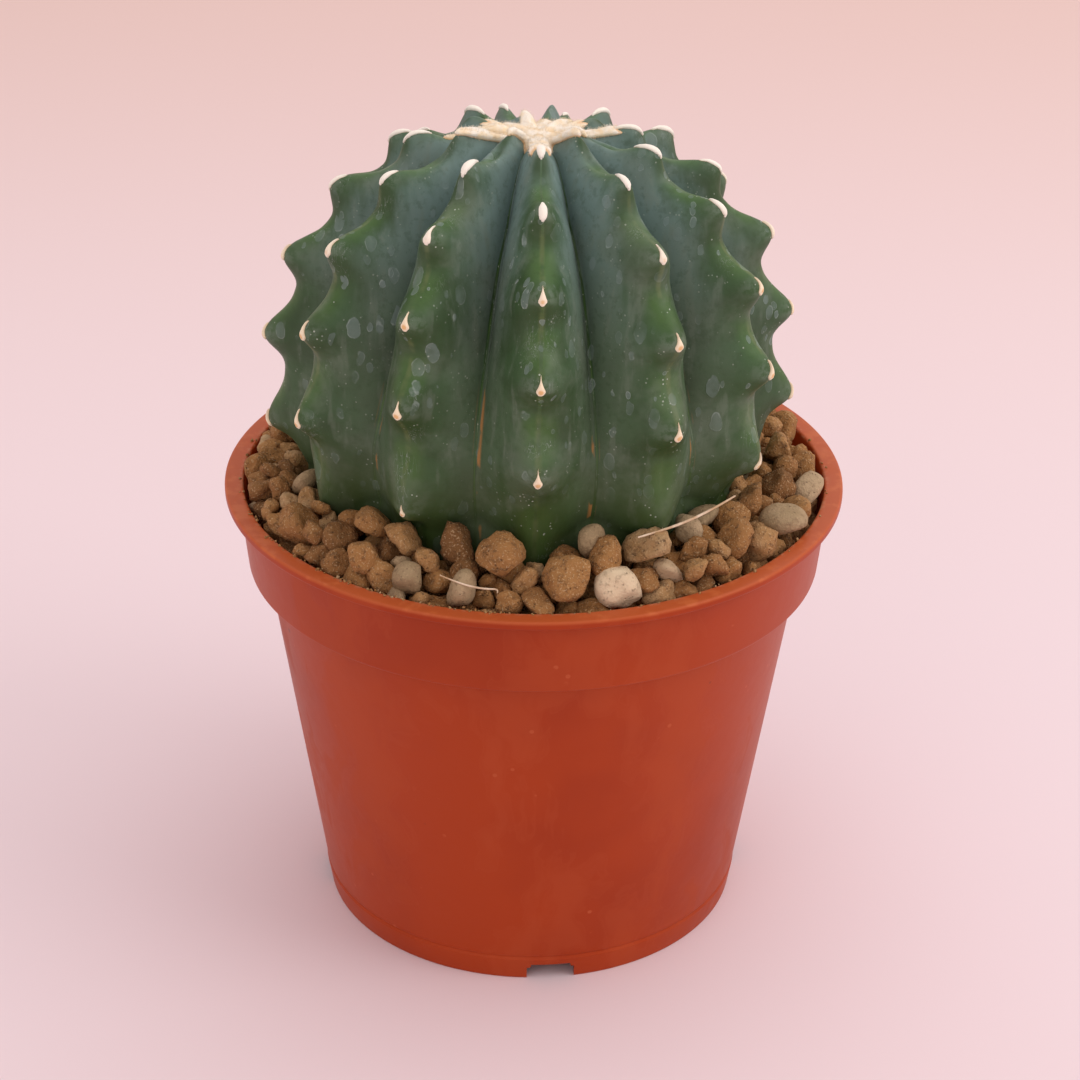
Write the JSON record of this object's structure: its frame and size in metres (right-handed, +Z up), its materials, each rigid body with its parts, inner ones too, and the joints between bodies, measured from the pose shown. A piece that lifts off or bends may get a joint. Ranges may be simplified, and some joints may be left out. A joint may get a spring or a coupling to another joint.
{
  "type": "potted round cactus",
  "caption": "Spineless globe cactus with thick scalloped ribs and a woolly crown, standing in clay grit in a round plastic nursery pot with a stepped rim.",
  "frame": {"origin": "centre of the pot's foot, on the surface it stands on", "axes": "+Z up along the pot's axis, -Y towards the side with the drainage notch nearest the front, +X to the right of it"},
  "size_m": [0.105, 0.105, 0.1484],
  "materials": {
    "pot_plastic": "terracotta-orange injection-moulded plastic, satin, with faint water marks",
    "skin": "waxy blue-green plant skin with a pale bloom, stands in for living tissue",
    "wool": "cream felted plant wool",
    "mix": "dark granular potting mix, loose and porous",
    "clay": "ochre fired-clay grit, dry and dusty",
    "pebble": "grey-beige pebble, smooth and matt",
    "straw": "dry straw stalk"
  },
  "bodies": {
    "root": {"cactus_stem": "skin", "crown_wool": "wool", "pot": "pot_plastic", "potting_mix": "mix", "stone_inner_01": "pebble", "stone_inner_02": "clay", "stone_inner_03": "clay", "stone_inner_04": "clay", "stone_inner_05": "clay", "stone_inner_06": "pebble", "stone_inner_07": "clay", "stone_inner_08": "clay", "stone_inner_09": "clay", "stone_inner_10": "clay", "stone_inner_11": "pebble", "stone_inner_12": "clay", "stone_inner_13": "clay", "stone_outer_01": "clay", "stone_outer_02": "clay", "stone_outer_03": "clay", "stone_outer_04": "pebble", "stone_outer_05": "clay", "stone_outer_06": "clay", "stone_outer_07": "clay", "stone_outer_08": "clay", "stone_outer_09": "clay", "stone_outer_10": "clay", "stone_outer_11": "pebble", "stone_outer_12": "clay", "stone_outer_13": "clay", "stone_outer_14": "clay", "stone_outer_15": "clay", "stone_outer_16": "clay", "stone_outer_17": "clay", "stone_outer_18": "pebble", "stone_outer_19": "clay", "stone_outer_20": "clay", "stone_outer_21": "clay", "stone_outer_22": "clay", "stone_outer_23": "clay", "stone_outer_24": "clay", "stone_outer_25": "pebble", "stone_outer_26": "clay", "stone_outer_27": "clay", "stone_outer_28": "clay", "stone_outer_29": "clay", "stone_outer_30": "clay", "stone_outer_31": "clay", "stone_outer_32": "pebble", "stone_outer_33": "clay", "stone_outer_34": "clay", "stone_outer_35": "clay", "stone_outer_36": "clay", "straw_front": "straw", "straw_side": "straw"}
  },
  "joints": []
}
